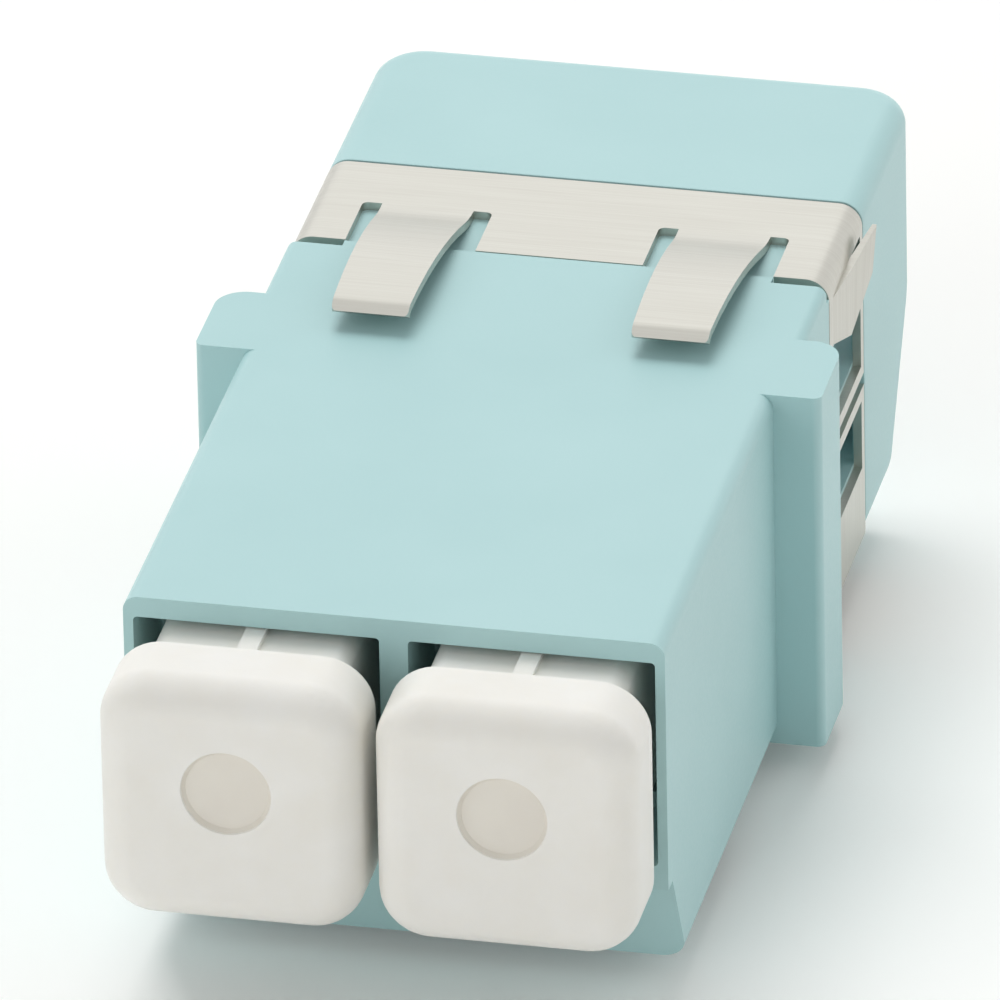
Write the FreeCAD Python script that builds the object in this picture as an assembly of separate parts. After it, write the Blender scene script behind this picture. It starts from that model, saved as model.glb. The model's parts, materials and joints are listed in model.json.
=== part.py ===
import FreeCAD, Part
import math
import os

V = FreeCAD.Vector

# Duplex fibre adapter, in mm. X is across, Y runs along the ports (front is -Y) and Z is up.
# The origin is the middle of the plane where the flange meets the panel.

# Housing
body_length = 27.3
body_height = 9.0
body_edge_radius = 0.35
body_keel_radius = 0.6
flange_front = 11.8
flange_thickness = 2.7
flange_overhang = 1.1
flange_front_radius = 0.2
flange_rear_radius = 0.7
neck_length = 2.84
neck_edge_radius = 0.25
rear_step = 0.15
joint_setback = 1.7
rear_corner_radius = 1.2
rear_keel_radius = 0.9
side_pocket_skin = 0.3
side_pocket_wall = 0.5

# Ports, the same at both ends
port_pitch = 6.25
plug_size = 4.5
port_clearance = 0.05
port_corner_radius = 0.1
mouth_depth = 2.6
mouth_side_gap = 0.5
mouth_top_gap = 0.15
mouth_bottom_gap = 0.4
mouth_wall = 0.225
mouth_roof = 0.5
dividing_wall = 2.6

# Latch side, under each port
latch_slot_width = 3.2
latch_slot_depth = 2.6
latch_ledge_length = 2.6
latch_pocket_length = 3.0
latch_pocket_width = 5.0
latch_face_drop = 6.25
latch_face_step = 0.45
latch_face_setback = 1.85
rear_face_drop = 3.0
rear_face_setback = 3.6

# Alignment sleeves and the tubes that hold them
sleeve_bore = 1.25
sleeve_outside = 1.62
sleeve_length = 6.8
sleeve_slit = 0.25
sleeve_play = 0.05
tube_outside = 2.9
tube_lip = 0.45
tube_mouth = 1.4
tube_chamfer = 0.2
retainer_clearance = 0.04

# Panel clip
sheet = 0.2
bend_radius = 0.35
clip_width = 3.78
clip_rear_gap = 0.09
clip_front_gap = 0.05
stub_groove = 0.3
stub_groove_depth = 0.25
clip_seam = 0.3
tongue_centre = 3.48
tongue_width = 2.15
tongue_tip_width = 1.78
tongue_tip_radius = 0.1
tongue_slot = 0.45
tongue_slot_radius = 0.15
tongue_root = 1.9
tongue_lift_radius = 2.9
tongue_lift_angle = 16
tongue_arch_radius = 14.3
tongue_arch_angle = 20
tongue_curl_radius = 0.48
tongue_curl_angle = 50
window_drop = 2.3
window_bridge = 0.3
window_front_margin = 0.4
window_rear_margin = 0.3
wing_drop = 0.65
wing_front_height = 1.2
wing_middle_height = 1.75
wing_rear_height = 1.25
wing_rise = 0.4
wing_spread = 0.42
wing_tip_thickness = 0.1
side_hole_margin = 0.1

# Dust caps
cap_width = 5.95
cap_height = 6.05
cap_drop = 0.38
cap_depth = 2.3
cap_stand_off = 0.95
cap_corner_radius = 1.2
cap_front_radius = 0.8
cap_back_chamfer = 0.25
cap_recess_diameter = 2.05
cap_recess_depth = 0.15
cap_recess_edge = 0.08
insert_length = 4.4
insert_corner_radius = 0.4
insert_lead = 0.3
insert_core = 3.0
insert_core_depth = 5.4
rib_width = 0.45
rib_height = 0.15
rib_gap = 0.05

# Places worked out from the sizes
port_size = plug_size + 2 * port_clearance
mouth_width = port_size + 2 * mouth_side_gap
body_width = port_pitch + mouth_width + 2 * mouth_wall
front_y = -flange_thickness - flange_front
rear_y = front_y + body_length
mid_y = front_y + body_length / 2
shoulder_y = neck_length
clip_front_y = shoulder_y + clip_front_gap
clip_rear_y = clip_front_y + clip_width
block_y = clip_rear_y + clip_rear_gap
joint_y = clip_front_y + joint_setback
half_w = body_width / 2
half_h = body_height / 2
rear_half_w = half_w + rear_step
seat_half_w = rear_half_w - sheet
seat_half_h = half_h - sheet
port_z = half_h - mouth_roof - mouth_top_gap - port_size / 2
port_top = port_z + port_size / 2
port_bottom = port_z - port_size / 2
port_outer_x = port_pitch / 2 + port_size / 2
mouth_top = port_top + mouth_top_gap
mouth_bottom = port_bottom - mouth_bottom_gap
slot_bottom = port_bottom - latch_slot_depth
window_top = half_h - window_drop
window_low = clip_seam / 2 + window_bridge
window_front_y = clip_front_y + window_front_margin
window_rear_y = clip_rear_y - window_rear_margin
clip_bend = bend_radius + sheet
wall_front_y = mid_y - dividing_wall / 2
wall_rear_y = mid_y + dividing_wall / 2
tube_cavity = sleeve_length + 2 * sleeve_play
tube_reach = tube_cavity / 2 + tube_lip
port_centres = (("left", -port_pitch / 2), ("right", port_pitch / 2))
sides = [(side, up) for side in (-1, 1) for up in (-1, 1)]


def block(x0, x1, y0, y1, z0, z1):
    return Part.makeBox(x1 - x0, y1 - y0, z1 - z0, V(x0, y0, z0))


def rod(diameter, x, z, y0, y1):
    return Part.makeCylinder(diameter / 2, y1 - y0, V(x, y0, z), V(0, 1, 0))


def bar(x0, x1, z0, z1, radius, y0, y1, low_radius=None):
    # A straight bar along Y with rounded long edges, which may differ at the bottom.
    solid = block(x0, x1, y0, y1, z0, z1)
    low = low_radius or radius
    for x, z, size in ((x0, z0, low), (x1, z0, low), (x0, z1, radius), (x1, z1, radius)):
        middle = V(x, (y0 + y1) / 2, z)
        solid = solid.makeFillet(size, [e for e in solid.Edges if e.CenterOfMass.isEqual(middle, 1e-6)])
    return solid


def edges_at(solid, y):
    # The edges that lie wholly in one plane across the ports.
    return [e for e in solid.Edges if abs(e.BoundBox.YMin - y) < 1e-4 and abs(e.BoundBox.YMax - y) < 1e-4]


def prism(points, direction):
    # A flat outline pushed along one direction.
    return Part.Face(Part.makePolygon(points + points[:1])).extrude(direction)


def flipped(shape):
    # The same shape at the other end of the housing.
    return shape.mirror(V(0, mid_y, 0), V(0, 1, 0))


def joined(shapes):
    return shapes[0].multiFuse(shapes[1:]).removeSplitter()


def port_space(x, floor):
    # All that is open in one front port: mouth, plug room, latch slot and latch pocket.
    half_mouth = mouth_width / 2
    half_port = port_size / 2
    half_slot = latch_slot_width / 2
    half_pocket = latch_pocket_width / 2
    ledge_y = front_y + mouth_depth + latch_ledge_length
    pocket_y = ledge_y + latch_pocket_length
    outside_y = front_y - 1
    mouth = bar(x - half_mouth, x + half_mouth, mouth_bottom, mouth_top, port_corner_radius,
                outside_y, front_y + mouth_depth)
    plug_room = bar(x - half_port, x + half_port, port_bottom, port_top, port_corner_radius,
                    outside_y, wall_front_y)
    slot = block(x - half_slot, x + half_slot, outside_y, ledge_y, slot_bottom, port_z)
    pocket = block(x - half_pocket, x + half_pocket, ledge_y, pocket_y, floor, port_bottom + half_port / 2)
    return mouth.multiFuse([plug_room, slot, pocket])


def latch_face(drop, step, setback, low):
    # What is cut from a front end below the ports, where it steps in and then slants back.
    top = half_h - drop
    outside_y = front_y - 1
    corners = [
        V(-body_width, outside_y, top),
        V(-body_width, front_y + step, top),
        V(-body_width, front_y + setback, low),
        V(-body_width, outside_y, low),
    ]
    return prism(corners, V(2 * body_width, 0, 0))


def sleeve_tube(x, wall_y):
    # Half a sleeve tube with its end lip, standing on the front side of the dividing wall.
    tip_y = mid_y - tube_reach
    tube = rod(tube_outside, x, port_z, tip_y, wall_y)
    return tube.makeChamfer(tube_chamfer, edges_at(tube, tip_y))


def sleeve_room(x):
    # The bore in half a sleeve tube, narrow at the lip and wide where the sleeve floats.
    lip_y = mid_y - tube_cavity / 2
    narrow = rod(tube_mouth, x, port_z, mid_y - tube_reach - 1, mid_y)
    wide = rod(sleeve_outside + 2 * sleeve_play, x, port_z, lip_y, mid_y)
    return narrow.fuse(wide)


def side_block(side, up, x0, x1, y0, y1, z0, z1):
    # A block given for the right upper corner, placed at any of the four corners.
    xs = sorted((side * x0, side * x1))
    zs = sorted((up * z0, up * z1))
    return block(xs[0], xs[1], y0, y1, zs[0], zs[1])


def clip_seat(y0, y1):
    # The waist of the housing that the clip wraps, one sheet below the clip's outside.
    return bar(-seat_half_w, seat_half_w, -seat_half_h, seat_half_h, bend_radius, y0, y1)


def side_hole(side, up):
    # The hole in the housing wall behind a window of the clip, with its pocket in the end block.
    inner_x = port_outer_x - port_clearance
    start_y = window_front_y + side_hole_margin
    low, high = window_low + side_hole_margin, window_top - side_hole_margin
    hole = side_block(side, up, inner_x, rear_half_w, start_y, block_y, low, high)
    pocket = side_block(side, up, inner_x, rear_half_w - side_pocket_skin, start_y,
                        rear_y - mouth_depth - side_pocket_wall, low, high)
    return hole.fuse(pocket)


def flange_plate():
    # The flange is a plate with round upright edges, larger at the rear.
    half = half_w + flange_overhang
    plate = block(-half, half, -flange_thickness, 0, -half_h, half_h)
    for y, radius in ((-flange_thickness, flange_front_radius), (0, flange_rear_radius)):
        upright = []
        for edge in edges_at(plate, y):
            if edge.BoundBox.ZLength > half_h and abs(edge.BoundBox.XMin) > half_w:
                upright.append(edge)
        plate = plate.makeFillet(radius, upright)
    return plate


def stub_clearance(side, up):
    # A groove at the clip's front edge beside each outer tongue slot, so that a tool can lift the clip there.
    inner_x = tongue_centre + tongue_width / 2 + tongue_slot
    return side_block(side, up, inner_x, rear_half_w + 1, clip_front_y - stub_groove,
                      clip_front_y + stub_groove, seat_half_h - stub_groove_depth, half_h + 1)


def front_housing():
    body = bar(-half_w, half_w, -half_h, half_h, body_edge_radius, front_y, 0, body_keel_radius)
    neck = bar(-rear_half_w, rear_half_w, -half_h, half_h, neck_edge_radius, 0, shoulder_y)
    seat = clip_seat(0, joint_y)
    shell = joined([body, flange_plate(), neck, seat])
    rear_room = block(-port_outer_x, port_outer_x, mid_y, joint_y + 1, port_bottom, port_top)
    cuts = [rear_room, latch_face(latch_face_drop, latch_face_step, latch_face_setback, -half_h)]
    for name, x in port_centres:
        cuts.append(port_space(x, -half_h - 1))
        cuts.append(flipped(port_space(x, slot_bottom)))
    wall = block(-port_outer_x, port_outer_x, wall_front_y, mid_y, port_bottom, port_top)
    shell = shell.cut(joined(cuts)).fuse(wall)
    for side, up in sides:
        shell = shell.cut(stub_clearance(side, up)).cut(side_hole(side, up))
    for name, x in port_centres:
        shell = shell.fuse(sleeve_tube(x, mid_y)).cut(sleeve_room(x))
    return shell.removeSplitter()


def rear_end():
    # The block behind the clip, with round corners in plan, round rims and a slanted latch side.
    end = block(-rear_half_w, rear_half_w, block_y, rear_y, -half_h, half_h)
    upright = [e for e in edges_at(end, rear_y) if e.BoundBox.ZLength > half_h]
    end = end.makeFillet(rear_corner_radius, upright)
    for z, radius in ((half_h, clip_bend), (-half_h, rear_keel_radius)):
        rim = []
        for edge in end.Edges:
            box = edge.BoundBox
            if abs(box.ZMin - z) < 1e-4 and abs(box.ZMax - z) < 1e-4 and box.YMax > block_y + 1e-4:
                rim.append(edge)
        end = end.makeFillet(radius, rim)
    return end.cut(flipped(latch_face(rear_face_drop, 0, rear_face_setback, -half_h)))


def rear_housing():
    shell = joined([clip_seat(joint_y, block_y), rear_end()])
    for side, up in sides:
        shell = shell.cut(side_hole(side, up))
    for name, x in port_centres:
        shell = shell.cut(flipped(port_space(x, slot_bottom)))
    return shell.removeSplitter()


def sleeve_retainer():
    outer_x = port_outer_x - retainer_clearance
    low = port_bottom + retainer_clearance
    high = port_top - retainer_clearance
    divider_x = (port_pitch - port_size) / 2
    plate = block(-outer_x, outer_x, mid_y, wall_rear_y, low, high)
    divider = block(-divider_x, divider_x, mid_y, joint_y, low, high)
    shell = plate.fuse(divider)
    for name, x in port_centres:
        shell = shell.fuse(flipped(sleeve_tube(x, mid_y))).cut(flipped(sleeve_room(x)))
    return shell.removeSplitter()


def alignment_sleeve(x):
    # A split tube that rests against the lip of the front half tube.
    start_y = mid_y - tube_cavity / 2
    end_y = start_y + sleeve_length
    tube = rod(sleeve_outside, x, port_z, start_y, end_y)
    tube = tube.cut(rod(sleeve_bore, x, port_z, start_y, end_y))
    slit = block(x - sleeve_slit / 2, x + sleeve_slit / 2, start_y, end_y, port_z, port_z + sleeve_outside)
    return tube.cut(slit)


def bent_strip(root_y, base, bends):
    # The side outline of a sheet that leaves the band level, towards -Y, and then bends up or down.
    upper, lower = [], []
    spot, heading = V(0, root_y, base), 0.0
    for radius, turn in bends:
        away = 1 if turn > 0 else -1
        centre = spot + V(0, math.sin(heading), math.cos(heading)) * (away * radius)
        angles = [heading + math.radians(turn) * share for share in (0, 0.5, 1)]
        for edges, size in ((upper, radius), (lower, radius + away * sheet)):
            points = [centre - V(0, math.sin(a), math.cos(a)) * (away * size) for a in angles]
            edges.append(Part.Arc(points[0], points[1], points[2]).toShape())
        heading = angles[2]
        spot = centre - V(0, math.sin(heading), math.cos(heading)) * (away * radius)
    under = spot - V(0, math.sin(heading), math.cos(heading)) * sheet
    ends = [Part.makeLine(spot, under), Part.makeLine(V(0, root_y, base - sheet), V(0, root_y, base))]
    return Part.Face(Part.Wire(upper + ends[:1] + lower[::-1] + ends[1:])), spot


def clip_tongue(x, root_y):
    # A spring tongue: it lifts from the band, arches over and curls down, and its plan tapers to the tip.
    bends = [
        (tongue_lift_radius, tongue_lift_angle),
        (tongue_arch_radius, -tongue_arch_angle),
        (tongue_curl_radius, -tongue_curl_angle),
    ]
    outline, tip = bent_strip(root_y, half_h, bends)
    strip = outline.extrude(V(2 * tongue_width, 0, 0))
    strip.translate(V(x - tongue_width, 0, 0))
    low_z = half_h - tongue_width
    plan = prism([
        V(x - tongue_width / 2, root_y, low_z),
        V(x - tongue_tip_width / 2, tip.y, low_z),
        V(x + tongue_tip_width / 2, tip.y, low_z),
        V(x + tongue_width / 2, root_y, low_z),
    ], V(0, 0, 2 * tongue_width))
    tip_corners = []
    for edge in plan.Edges:
        if edge.BoundBox.ZLength > tongue_width and edge.BoundBox.YMax < tip.y + 1e-4:
            tip_corners.append(edge)
    plan = plan.makeFillet(tongue_tip_radius, tip_corners)
    return strip.common(plan)


def tongue_opening(x, root_y):
    # The cut round a tongue: a slot at each side, open at the band's front edge.
    half = tongue_width / 2 + tongue_slot
    cut = block(x - half, x + half, clip_front_y - 1, root_y, seat_half_h - sheet, half_h + sheet)
    corners = [e for e in edges_at(cut, root_y) if e.BoundBox.ZLength > 2 * sheet]
    return cut.makeFillet(tongue_slot_radius, corners)


def clip_wing():
    # A leaf lanced from the side near the seam: it leaves the wall at its front and stands away at its rear.
    top = half_h - wing_drop
    tip_y = window_rear_y - side_hole_margin
    stations = [
        (window_front_y, 0, sheet, top, wing_front_height),
        ((window_front_y + window_rear_y) / 2, wing_spread / 3, sheet, top, wing_middle_height),
        (tip_y, wing_spread, wing_tip_thickness, top + wing_rise, wing_rear_height),
    ]
    sections = []
    for y, out, thickness, high, height in stations:
        outer = rear_half_w + out
        lean = out / 4
        sections.append(Part.makePolygon([
            V(outer - thickness, y, high),
            V(outer, y, high),
            V(outer - lean, y, high - height),
            V(outer - lean - thickness, y, high - height),
            V(outer - thickness, y, high),
        ]))
    return Part.makeLoft(sections, True, True)


def panel_clip():
    root_y = clip_rear_y - tongue_root
    outer = bar(-rear_half_w, rear_half_w, -half_h, half_h, clip_bend, clip_front_y, clip_rear_y)
    inner = clip_seat(clip_front_y - 1, clip_rear_y + 1)
    clip = outer.cut(inner)
    cuts = [block(0, body_width, clip_front_y - 1, clip_rear_y + 1, -clip_seam / 2, clip_seam / 2)]
    parts = [clip_wing()]
    for side, up in sides:
        opening = tongue_opening(side * tongue_centre, root_y)
        tongue = clip_tongue(side * tongue_centre, root_y)
        if up < 0:
            opening, tongue = [p.mirror(V(0, 0, 0), V(0, 0, 1)) for p in (opening, tongue)]
        high = half_h - wing_drop if (side, up) == (1, 1) else window_top
        window = side_block(side, up, seat_half_w - sheet, rear_half_w + sheet, window_front_y, window_rear_y,
                            window_low, high)
        cuts += [opening, window]
        parts.append(tongue)
    for cut in cuts:
        clip = clip.cut(cut)
    return joined([clip] + parts)


def dust_cap(x):
    back_y = front_y - cap_stand_off
    face_y = back_y - cap_depth
    top = half_h - cap_drop
    half = cap_width / 2
    head = bar(x - half, x + half, top - cap_height, top, cap_corner_radius, face_y, back_y)
    head = head.makeFillet(cap_front_radius, edges_at(head, face_y))
    head = head.makeChamfer(cap_back_chamfer, edges_at(head, back_y))
    half_plug = plug_size / 2
    insert_y = front_y + insert_length
    insert = bar(x - half_plug, x + half_plug, port_z - half_plug, port_z + half_plug,
                 insert_corner_radius, back_y - cap_back_chamfer, insert_y)
    insert = insert.makeChamfer(insert_lead, edges_at(insert, insert_y))
    rib_top = port_z + half_plug + rib_height
    rib_end = front_y + mouth_depth - rib_gap
    rib = block(x - rib_width / 2, x + rib_width / 2, back_y - cap_back_chamfer, rib_end, port_z, rib_top)
    cap = joined([head, insert, rib])
    cap = cap.cut(rod(insert_core, x, port_z, insert_y - insert_core_depth, insert_y))
    radius = cap_recess_diameter / 2
    recess = Part.makePolygon([
        V(x, face_y - 1, port_z),
        V(x + radius, face_y - 1, port_z),
        V(x + radius, face_y + cap_recess_depth - cap_recess_edge, port_z),
        V(x + radius - cap_recess_edge, face_y + cap_recess_depth, port_z),
        V(x, face_y + cap_recess_depth, port_z),
        V(x, face_y - 1, port_z),
    ])
    recess = Part.Face(recess).revolve(V(x, 0, port_z), V(0, 1, 0), 360)
    return cap.cut(recess).removeSplitter()


os.makedirs("parts", exist_ok=True)
nodes = {
    "front_housing": front_housing(),
    "rear_housing": rear_housing(),
    "sleeve_retainer": sleeve_retainer(),
    "panel_clip": panel_clip(),
}
for name, x in port_centres:
    nodes["alignment_sleeve_" + name] = alignment_sleeve(x)
    nodes["dust_cap_" + name] = dust_cap(x)
for name, shape in nodes.items():
    shape.exportStep("parts/" + name + ".step")
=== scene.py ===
import json
import math

import bmesh
import bpy
from mathutils import Matrix, Vector


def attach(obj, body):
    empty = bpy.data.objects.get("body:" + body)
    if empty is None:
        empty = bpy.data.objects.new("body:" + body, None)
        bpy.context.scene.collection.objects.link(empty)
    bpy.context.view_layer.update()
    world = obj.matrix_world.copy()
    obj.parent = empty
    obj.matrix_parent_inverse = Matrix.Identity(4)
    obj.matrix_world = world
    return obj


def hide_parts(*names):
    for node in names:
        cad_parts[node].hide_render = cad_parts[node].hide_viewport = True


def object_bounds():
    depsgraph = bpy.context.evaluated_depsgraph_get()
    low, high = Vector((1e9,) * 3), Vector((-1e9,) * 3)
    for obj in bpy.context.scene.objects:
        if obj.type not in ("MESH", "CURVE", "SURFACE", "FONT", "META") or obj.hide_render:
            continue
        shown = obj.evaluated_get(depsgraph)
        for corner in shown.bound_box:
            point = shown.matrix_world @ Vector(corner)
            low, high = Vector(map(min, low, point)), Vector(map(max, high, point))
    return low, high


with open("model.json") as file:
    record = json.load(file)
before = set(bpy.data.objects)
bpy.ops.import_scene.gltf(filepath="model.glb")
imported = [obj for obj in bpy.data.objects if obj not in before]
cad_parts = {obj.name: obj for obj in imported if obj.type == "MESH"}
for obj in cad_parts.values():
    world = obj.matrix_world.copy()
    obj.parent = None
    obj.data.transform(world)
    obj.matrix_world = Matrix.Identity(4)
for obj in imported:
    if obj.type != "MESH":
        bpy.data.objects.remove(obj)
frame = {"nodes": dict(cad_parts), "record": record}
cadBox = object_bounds()
mm = 0.001
print("frame loaded:", len(frame["nodes"]), "nodes")


def linear(hexText):
    channels = [int(hexText[i:i + 2], 16) / 255 for i in (1, 3, 5)]
    return [c / 12.92 if c <= 0.04045 else ((c + 0.055) / 1.055) ** 2.4 for c in channels] + [1.0]


def addNode(tree, kind, settings=None, inputs=None):
    # a setting goes on the node, an input takes a value or another node's output
    node = tree.nodes.new(kind)
    for name, value in (settings or {}).items():
        setattr(node, name, value)
    for name, value in (inputs or {}).items():
        if isinstance(value, bpy.types.NodeSocket):
            tree.links.new(value, node.inputs[name])
        else:
            node.inputs[name].default_value = value
    return node


def newMaterial(name):
    material = bpy.data.materials.new(name)
    material.use_nodes = True
    material.node_tree.nodes.clear()
    return material, material.node_tree


noiseBand = (0.3, 0.7)      # most of a noise pattern's values lie in here
fullBand = (0.0, 1.0)


def noise(tree, place, want):
    pattern = addNode(tree, "ShaderNodeTexNoise", None, {
        "Vector": place,
        "Scale": 1 / (want["sizeMm"] * mm),
        "Detail": want["detail"],
        "Roughness": want["roughness"],
    })
    return pattern.outputs["Fac"]


def twoTone(tree, pattern, lowHex, highHex, band):
    ramp = addNode(tree, "ShaderNodeValToRGB", None, {"Fac": pattern})
    for stop, position, hexText in zip(ramp.color_ramp.elements, band, (lowHex, highHex)):
        stop.position = position
        stop.color = linear(hexText)
    return ramp.outputs["Color"]


def between(tree, pattern, ends, band):
    level = addNode(tree, "ShaderNodeMapRange", None, {
        "Value": pattern,
        "From Min": band[0],
        "From Max": band[1],
        "To Min": ends[0],
        "To Max": ends[1],
    })
    return level.outputs["Result"]


def fineBump(tree, pattern, depthMm):
    bump = addNode(tree, "ShaderNodeBump", None, {
        "Height": pattern,
        "Strength": 1.0,
        "Distance": depthMm * mm,
    })
    return bump.outputs["Normal"]


def addSurface(tree, inputs):
    shader = addNode(tree, "ShaderNodeBsdfPrincipled", None, inputs)
    addNode(tree, "ShaderNodeOutputMaterial", None, {"Surface": shader.outputs["BSDF"]})


# satin polyester, injection moulded in a spark-eroded tool: an even pale colour with a fine matte grain
aquaPlastic = {
    "colour": "#B0D5D6",
    "deepColour": "#ABD1D2",
    "roughness": (0.37, 0.47),
    "ior": 1.57,
    # slow shade changes where the melt flowed in
    "flow": {"sizeMm": 5.0, "detail": 3.0, "roughness": 0.5},
    # the real grain is near 0.03 mm, drawn coarser so that it shows
    "grain": {"sizeMm": 0.09, "detail": 2.0, "roughness": 0.6},
    "grainDepthMm": 0.0016,
}


def makeAquaPlastic(want):
    material, tree = newMaterial("mouldedAquaPolyester")
    place = addNode(tree, "ShaderNodeTexCoord").outputs["Object"]
    flow = noise(tree, place, want["flow"])
    grain = noise(tree, place, want["grain"])
    addSurface(tree, {
        "Base Color": twoTone(tree, flow, want["deepColour"], want["colour"], noiseBand),
        "Roughness": between(tree, grain, want["roughness"], noiseBand),
        "Normal": fineBump(tree, grain, want["grainDepthMm"]),
        "IOR": want["ior"],
    })
    return material


# stainless spring strip, cold rolled and then stamped: fine lines along the strip and a soft bright sheen
springSteel = {
    "colour": "#C9C8C0",
    "lineColour": "#C3C1B9",
    "roughness": (0.39, 0.29),
    "lineMm": 0.05,     # rolling lines are near 0.01 mm apart, drawn coarser so that they show
    "lineLengthMm": 4.0,
    "lineDetail": 3.0,
    "lineRoughness": 0.6,
    "lineDepthMm": 0.0004,
}


def makeSpringSteel(want):
    material, tree = newMaterial("rolledSpringSteel")
    place = addNode(tree, "ShaderNodeTexCoord").outputs["Object"]
    along = 1 / (want["lineLengthMm"] * mm)
    across = 1 / (want["lineMm"] * mm)
    stretched = addNode(tree, "ShaderNodeMapping", None, {"Vector": place, "Scale": (along, across, along)})
    lines = addNode(tree, "ShaderNodeTexNoise", None, {
        "Vector": stretched.outputs["Vector"],
        "Scale": 1.0,
        "Detail": want["lineDetail"],
        "Roughness": want["lineRoughness"],
    }).outputs["Fac"]
    addSurface(tree, {
        "Base Color": twoTone(tree, lines, want["lineColour"], want["colour"], noiseBand),
        "Metallic": 1.0,
        "Roughness": between(tree, lines, want["roughness"], noiseBand),
        "Normal": fineBump(tree, lines, want["lineDepthMm"]),
    })
    return material


# soft polyethylene, moulded: milky white, light soaks a little way in and the gloss is waxy
waxyWhite = {
    "colour": "#F3F2ED",
    "deepColour": "#EFEDE6",
    "roughness": (0.35, 0.45),
    "ior": 1.51,
    "soakMm": 0.5,
    "soakShare": 0.35,
    "soakReach": (1.0, 0.95, 0.85),     # red light gets a little further in than blue
    "mottle": {"sizeMm": 1.6, "detail": 4.0, "roughness": 0.5},
    "grain": {"sizeMm": 0.16, "detail": 2.0, "roughness": 0.5},
    "grainDepthMm": 0.0016,
}

# painted shade: a duller white on the floor of the dish in each cap's front, standing in for the shade in
# the recess and the light lost into the hollow core behind the thin web
dishShadeWhite = dict(waxyWhite, colour="#EAE6DC", deepColour="#E5E0D6")


def makeWaxyWhite(name, want):
    material, tree = newMaterial(name)
    place = addNode(tree, "ShaderNodeTexCoord").outputs["Object"]
    mottle = noise(tree, place, want["mottle"])
    grain = noise(tree, place, want["grain"])
    addSurface(tree, {
        "Base Color": twoTone(tree, mottle, want["deepColour"], want["colour"], noiseBand),
        "Roughness": between(tree, mottle, want["roughness"], noiseBand),
        "Normal": fineBump(tree, grain, want["grainDepthMm"]),
        "IOR": want["ior"],
        "Subsurface Weight": want["soakShare"],
        "Subsurface Radius": want["soakReach"],
        "Subsurface Scale": want["soakMm"] * mm,
    })
    return material


# zirconia, ground: a hard off-white with faint grinding rings and a clear gloss
zirconia = {
    "colour": "#EFECE4",
    "ringColour": "#E5E1D7",
    "roughness": (0.23, 0.13),
    "ior": 2.15,
    "ringMm": 0.12,     # grinding marks are finer than 0.01 mm, drawn coarser so that they show
    "ringWaver": 3.0,
    "ringDetail": 2.0,
    "ringDepthMm": 0.0004,
}


def makeZirconia(want):
    material, tree = newMaterial("groundZirconia")
    place = addNode(tree, "ShaderNodeTexCoord").outputs["Object"]
    rings = addNode(tree, "ShaderNodeTexWave", {"wave_type": "BANDS", "bands_direction": "Y"}, {
        "Vector": place,
        "Scale": 1 / (want["ringMm"] * mm * math.tau),
        "Distortion": want["ringWaver"],
        "Detail": want["ringDetail"],
    }).outputs["Fac"]
    addSurface(tree, {
        "Base Color": twoTone(tree, rings, want["ringColour"], want["colour"], fullBand),
        "Roughness": between(tree, rings, want["roughness"], fullBand),
        "Normal": fineBump(tree, rings, want["ringDepthMm"]),
        "IOR": want["ior"],
    })
    return material


aqua = makeAquaPlastic(aquaPlastic)
steel = makeSpringSteel(springSteel)
white = makeWaxyWhite("mouldedWhitePolyethylene", waxyWhite)
dishShade = makeWaxyWhite("paintedShadeDishPolyethylene", dishShadeWhite)
ceramic = makeZirconia(zirconia)
print("materials made")

# the broken edges of the moulded pieces
edges = {
    "shellMm": 0.04,
    "capMm": 0.03,
    "sharpDeg": 28,     # a fold past this is an edge, and a lesser one belongs to a curve
    "flatDeg": 0.4,     # faces that fold less than this become one face
    "mergeMm": 0.0002,
}


def evenShading(mesh, sharp):
    # a corner takes the mean of the faces round it that fold less than the sharp angle, so flats stay flat
    around = [[] for v in mesh.vertices]
    for face in mesh.polygons:
        for v in face.vertices:
            around[v].append(face)
    normals = []
    for face in mesh.polygons:
        for v in face.vertices:
            near = [f for f in around[v] if f.normal.dot(face.normal) > math.cos(sharp)]
            normals.append(sum((f.normal * f.area for f in near), Vector()).normalized())
    mesh.normals_split_custom_set(normals)


def closedLoops(bm, sharp, sliver):
    # hard outer edges, clear of inner corners and slivers, in loops that close, so none runs out on a face
    fold = {e: e.calc_face_angle_signed(0) for e in bm.edges}
    avoid = {v for e in bm.edges if fold[e] < -sharp or e.calc_length() < sliver for v in e.verts}
    hard = {e for e in bm.edges if fold[e] > sharp and not avoid.intersection(e.verts)}
    loose = hard
    while loose:
        loose = {e for e in hard if any(len(hard.intersection(v.link_edges)) < 2 for v in e.verts)}
        hard -= loose
    return list(hard)


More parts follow.
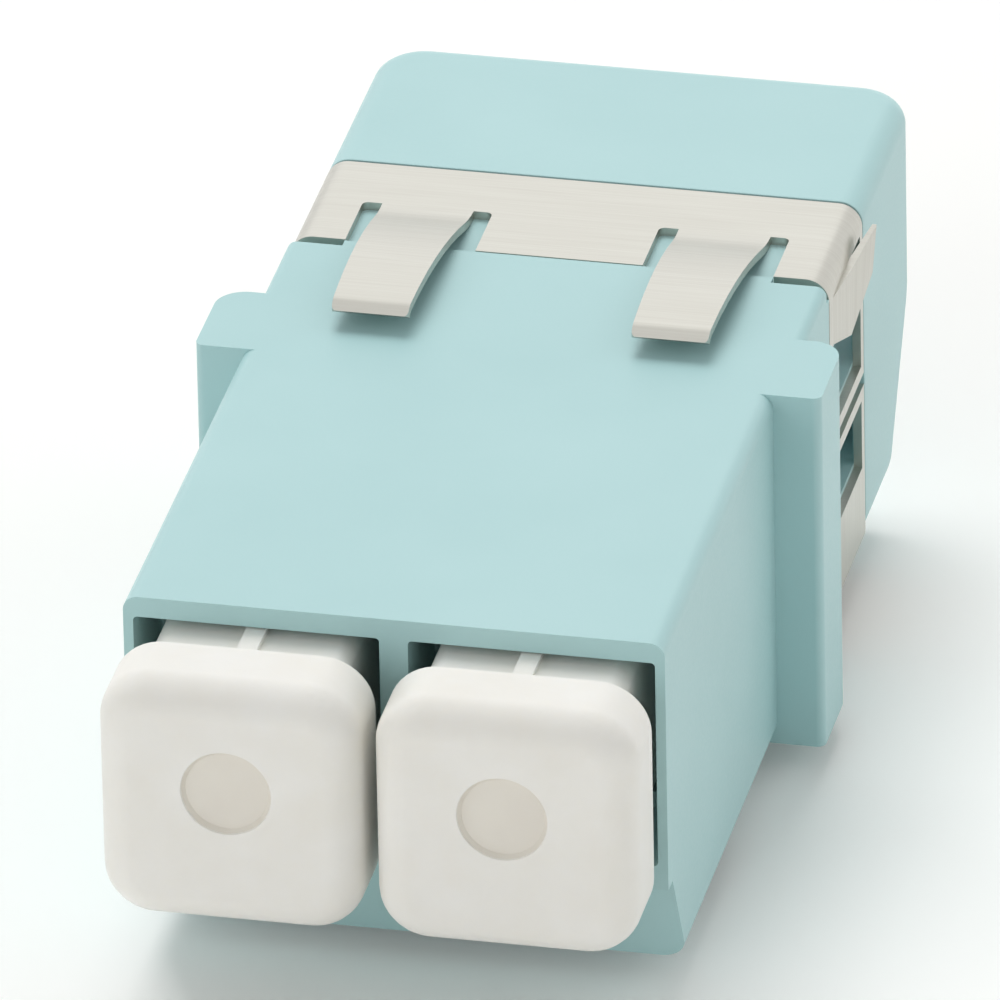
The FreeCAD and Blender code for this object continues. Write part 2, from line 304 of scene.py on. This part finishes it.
def softEdged(name, node, body, material, edgeMm, want):
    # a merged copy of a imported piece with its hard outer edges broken, as a tool or a die leaves them
    sharp = math.radians(want["sharpDeg"])
    flat = math.radians(want["flatDeg"])
    mesh = frame["nodes"][node].data.copy()
    mesh.name = name
    bm = bmesh.new()
    bm.from_mesh(mesh)
    bmesh.ops.remove_doubles(bm, verts=bm.verts[:], dist=want["mergeMm"] * mm)
    bmesh.ops.dissolve_limit(bm, angle_limit=flat, verts=bm.verts[:], edges=bm.edges[:])
    bm.normal_update()
    hard = closedLoops(bm, sharp, edgeMm * mm / 2)
    bmesh.ops.bevel(bm, geom=hard, offset=edgeMm * mm, offset_type="OFFSET", segments=2, profile=0.5,
                    affect="EDGES", material=-1, clamp_overlap=False)
    for face in bm.faces:
        face.smooth = True
    bm.to_mesh(mesh)
    bm.free()
    mesh.set_sharp_from_angle(angle=sharp)
    evenShading(mesh, sharp)
    mesh.materials.clear()
    mesh.materials.append(material)
    piece = bpy.data.objects.new(name, mesh)
    bpy.context.scene.collection.objects.link(piece)
    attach(piece, body)
    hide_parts(node)
    print(name, "made with", len(hard), "edges broken and", len(mesh.polygons), "faces")
    return piece


softEdged("frontShell", "front_housing", "adapter", aqua, edges["shellMm"], edges)
softEdged("rearShell", "rear_housing", "adapter", aqua, edges["shellMm"], edges)
caps = [softEdged("leftCap", "dust_cap_left", "left_cap", white, edges["capMm"], edges),
        softEdged("rightCap", "dust_cap_right", "right_cap", white, edges["capMm"], edges)]

# the round dish in each cap's front, on the axis of its port, whose floor is painted a duller white for its
# shade
dish = {"radiusMm": 1.0, "reachMm": 0.3, "rimMm": 0.05}


def markDishShade(cap, mountName, want):
    axis = Vector([m["pos_m"] for m in frame["record"]["mounts"] if m["name"] == mountName][0])
    frontY = min(v.co.y for v in cap.data.vertices)
    # painted shade: the faces of the dish floor take the duller white
    cap.data.materials.append(dishShade)
    marked = 0
    for face in cap.data.polygons:
        aside = math.hypot(face.center.x - axis.x, face.center.z - axis.z)
        behind = face.center.y - frontY
        if aside < want["radiusMm"] * mm and want["rimMm"] * mm < behind < want["reachMm"] * mm:
            face.material_index = 1
            marked += 1
    print(cap.name, "dish marked,", marked, "faces")


markDishShade(caps[0], "port_front_left", dish)
markDishShade(caps[1], "port_front_right", dish)

# the pieces that are shown as packed
packed = {
    "panel_clip": steel,
    "sleeve_retainer": aqua,
    "alignment_sleeve_left": ceramic,
    "alignment_sleeve_right": ceramic,
}
for nodeName, material in packed.items():
    slots = frame["nodes"][nodeName].data.materials
    slots.clear()
    slots.append(material)
print("packed pieces dressed")

# the camera, from a fit of the photo's edges
view = {
    "azimuthDeg": 12.905,
    "elevationDeg": 28.598,
    "rollDeg": -1.160,
    "distanceMm": 475.4,
    "aimMm": (0, -3.04, 0.68),
    "offMm": (0.145, -0.614),
    "lensMm": 754.16,
    "sensorMm": 36,
    "nearMm": 50,
}


def makeCamera(want):
    az, el, roll = (math.radians(want[k]) for k in ("azimuthDeg", "elevationDeg", "rollDeg"))
    back = Vector((math.sin(az) * math.cos(el), -math.cos(az) * math.cos(el), math.sin(el)))
    right = Vector((math.cos(az), math.sin(az), 0))
    up = back.cross(right)
    across = math.cos(roll) * right + math.sin(roll) * up
    upward = math.cos(roll) * up - math.sin(roll) * right
    spot = Vector(want["aimMm"]) + back * want["distanceMm"]
    spot -= across * want["offMm"][0] + upward * want["offMm"][1]
    data = bpy.data.cameras.new("photoView")
    data.lens = want["lensMm"]
    data.sensor_width = want["sensorMm"]
    data.clip_start = want["nearMm"] * mm
    camera = bpy.data.objects.new("photoView", data)
    bpy.context.scene.collection.objects.link(camera)
    turn = Matrix((across, upward, back)).transposed()
    camera.matrix_world = Matrix.Translation(spot * mm) @ turn.to_4x4()
    bpy.context.scene.camera = camera


makeCamera(view)


def seenDirectly(tree):
    # 1 where the eye looks straight at a surface, or sees it in metal or through something clear
    ray = addNode(tree, "ShaderNodeLightPath")
    level = ray.outputs["Is Camera Ray"]
    for kind in ("Is Glossy Ray", "Is Transmission Ray"):
        either = addNode(tree, "ShaderNodeMath", {"operation": "MAXIMUM"})
        tree.links.new(level, either.inputs[0])
        tree.links.new(ray.outputs[kind], either.inputs[1])
        level = either.outputs[0]
    return level


# a white table top under the lowest point of the part
table = {
    "colour": "#FCFCFA",
    "shadeColour": "#F8F8F6",
    "sizeMm": 4000,
    "roughness": 0.7,
    "mottle": {"sizeMm": 60, "detail": 2.0, "roughness": 0.5},
    "lift": 0.07,       # brings the white up to the paper white of the backdrop and keeps the shadow
}


def makeTable(want):
    material, tree = newMaterial("mattWhiteTable")
    place = addNode(tree, "ShaderNodeTexCoord").outputs["Object"]
    mottle = noise(tree, place, want["mottle"])
    addSurface(tree, {
        "Base Color": twoTone(tree, mottle, want["shadeColour"], want["colour"], fullBand),
        "Roughness": want["roughness"],
        "Specular IOR Level": 0.0,
        "Emission Color": linear(want["colour"]),
        "Emission Strength": between(tree, seenDirectly(tree), (0.0, want["lift"]), fullBand),
    })
    bm = bmesh.new()
    bmesh.ops.create_grid(bm, x_segments=1, y_segments=1, size=want["sizeMm"] * mm / 2)
    bmesh.ops.translate(bm, verts=bm.verts[:], vec=(0, 0, cadBox[0][2]))
    mesh = bpy.data.meshes.new("table")
    bm.to_mesh(mesh)
    bm.free()
    mesh.materials.append(material)
    piece = bpy.data.objects.new("table", mesh)
    bpy.context.scene.collection.objects.link(piece)


makeTable(table)

# a soft lamp high behind the part, two weak fills, and a pale card low behind it
lamps = {
    "soft key": {"fromMm": (-160, 420, 640), "sizeMm": 450, "watts": 3.25, "mirrored": False},
    "front fill": {"fromMm": (-420, -700, 240), "sizeMm": 600, "watts": 1.6, "mirrored": False},
    "side fill": {"fromMm": (650, 330, 260), "sizeMm": 600, "watts": 0.9, "mirrored": False},
    "pale card": {"fromMm": (-145, 610, 450), "sizeMm": 700, "watts": 0.54, "mirrored": True},
}


def makeLight(want):
    for name, lamp in want.items():
        data = bpy.data.lights.new(name, "AREA")
        data.size = lamp["sizeMm"] * mm
        data.energy = lamp["watts"]
        light = bpy.data.objects.new(name, data)
        bpy.context.scene.collection.objects.link(light)
        light.location = Vector(lamp["fromMm"]) * mm
        light.rotation_euler = light.location.to_track_quat("Z", "Y").to_euler()
        light.visible_camera = False
        # the steel mirrors the room and the card, not the lamps
        light.visible_glossy = lamp["mirrored"]


makeLight(lamps)

# even white light all round, weaker as light than as a backdrop
room = {"ambient": 0.45, "seen": 1.0, "colour": "#FFFFFF"}


def makeRoom(want):
    world = bpy.data.worlds.new("whiteRoom")
    bpy.context.scene.world = world
    world.use_nodes = True
    tree = world.node_tree
    tree.nodes.clear()
    level = between(tree, seenDirectly(tree), (want["ambient"], want["seen"]), fullBand)
    sky = addNode(tree, "ShaderNodeBackground", None, {"Color": linear(want["colour"]), "Strength": level})
    addNode(tree, "ShaderNodeOutputWorld", None, {"Surface": sky.outputs["Background"]})


makeRoom(room)
bpy.context.scene.view_settings.view_transform = "Standard"
print("camera, table and light set")
